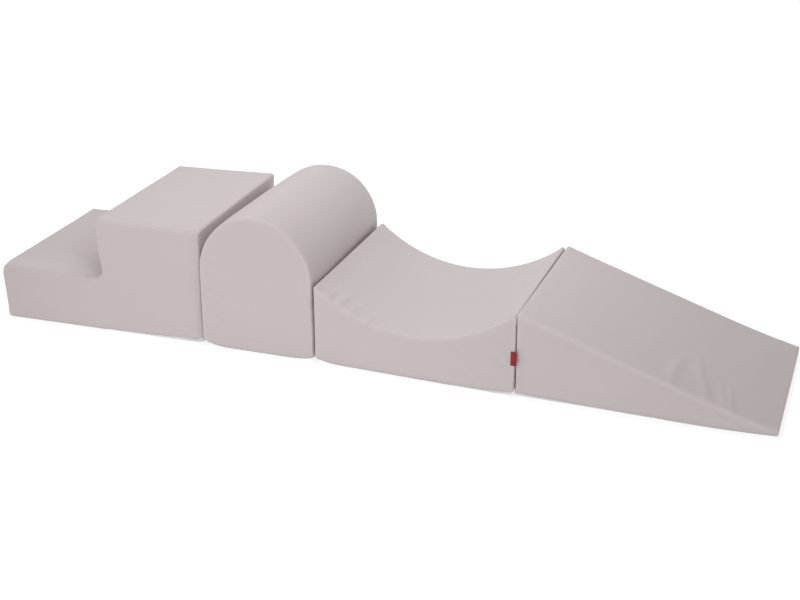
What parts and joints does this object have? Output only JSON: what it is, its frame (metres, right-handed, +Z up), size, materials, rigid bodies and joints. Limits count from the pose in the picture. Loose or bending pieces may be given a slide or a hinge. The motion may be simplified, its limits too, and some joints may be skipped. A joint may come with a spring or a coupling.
{
  "type": "foam play block",
  "caption": "Soft play set of free-standing leatherette-covered foam blocks in a row: steps, arch, valley and ramp, each with a zipped cover.",
  "frame": {"origin": "middle of the footprint of the whole row, on the floor", "axes": "+X along the row from the step block to the ramp, +Y to the back where the zips are, +Z up"},
  "size_m": [2.0611, 0.5085, 0.364],
  "materials": {
    "leatherette": "matt satin leatherette with a fine grain, warm light grey",
    "foam": "open-cell foam, cut face",
    "base_fabric": "pale non-slip base fabric",
    "zip_tape": "woven zip tape with a coil",
    "zip_metal": "satin nickel",
    "ribbon": "plain red woven ribbon"
  },
  "bodies": {
    "valley": {"valley_foam_core": "foam", "valley_front_panel": "leatherette", "valley_back_panel": "leatherette", "valley_top_band": "leatherette", "valley_base_panel": "base_fabric", "valley_zip_chain": "zip_tape", "valley_label": "ribbon"},
    "arch": {"arch_foam_core": "foam", "arch_front_panel": "leatherette", "arch_back_panel": "leatherette", "arch_top_band": "leatherette", "arch_base_panel": "base_fabric", "arch_zip_chain": "zip_tape"},
    "step": {"step_foam_core": "foam", "step_front_panel": "leatherette", "step_back_panel": "leatherette", "step_top_band": "leatherette", "step_base_panel": "base_fabric", "step_zip_chain": "zip_tape"},
    "ramp": {"ramp_foam_core": "foam", "ramp_front_panel": "leatherette", "ramp_back_panel": "leatherette", "ramp_top_band": "leatherette", "ramp_base_panel": "base_fabric", "ramp_zip_chain": "zip_tape"},
    "valley_slider": {"valley_zip_slider": "zip_metal"},
    "valley_pull": {"valley_zip_pull": "zip_metal"},
    "arch_slider": {"arch_zip_slider": "zip_metal"},
    "arch_pull": {"arch_zip_pull": "zip_metal"},
    "step_slider": {"step_zip_slider": "zip_metal"},
    "step_pull": {"step_zip_pull": "zip_metal"},
    "ramp_slider": {"ramp_zip_slider": "zip_metal"},
    "ramp_pull": {"ramp_zip_pull": "zip_metal"}
  },
  "joints": [
    {"name": "arch_push_apart", "type": "slide", "parent": "valley", "child": "arch", "axis": [-1, 0, 0], "range_m": [0, 0.3]},
    {"name": "step_push_apart", "type": "slide", "parent": "arch", "child": "step", "axis": [-1, 0, 0], "range_m": [0, 0.3]},
    {"name": "ramp_push_apart", "type": "slide", "parent": "valley", "child": "ramp", "axis": [1, 0, 0], "range_m": [0, 0.3]},
    {"name": "valley_zip_slide", "type": "slide", "parent": "valley", "child": "valley_slider", "axis": [-1, 0, 0], "range_m": [0, 0.397]},
    {"name": "valley_pull_hinge", "type": "hinge", "parent": "valley_slider", "child": "valley_pull", "pos_m": [0.35005, 0.24496, 0.02], "axis": [0, 0, 1], "range_deg": [0, 175]},
    {"name": "arch_zip_slide", "type": "slide", "parent": "arch", "child": "arch_slider", "axis": [-0.9999, -0.0173, 0], "range_m": [0, 0.187]},
    {"name": "arch_pull_hinge", "type": "hinge", "parent": "arch_slider", "child": "arch_pull", "pos_m": [-0.18051, 0.24854, 0.02], "axis": [0, 0, 1], "range_deg": [0, 175]},
    {"name": "step_zip_slide", "type": "slide", "parent": "step", "child": "step_slider", "axis": [-0.9991, -0.0431, 0], "range_m": [0, 0.472]},
    {"name": "step_pull_hinge", "type": "hinge", "parent": "step_slider", "child": "step_pull", "pos_m": [-0.50041, 0.25399, 0.02], "axis": [0, 0, 1], "range_deg": [0, 175]},
    {"name": "ramp_zip_slide", "type": "slide", "parent": "ramp", "child": "ramp_slider", "axis": [-0.9998, 0.0211, 0], "range_m": [0, 0.362]},
    {"name": "ramp_pull_hinge", "type": "hinge", "parent": "ramp_slider", "child": "ramp_pull", "pos_m": [0.84274, 0.23804, 0.02], "axis": [0, 0, 1], "range_deg": [0, 175]}
  ]
}
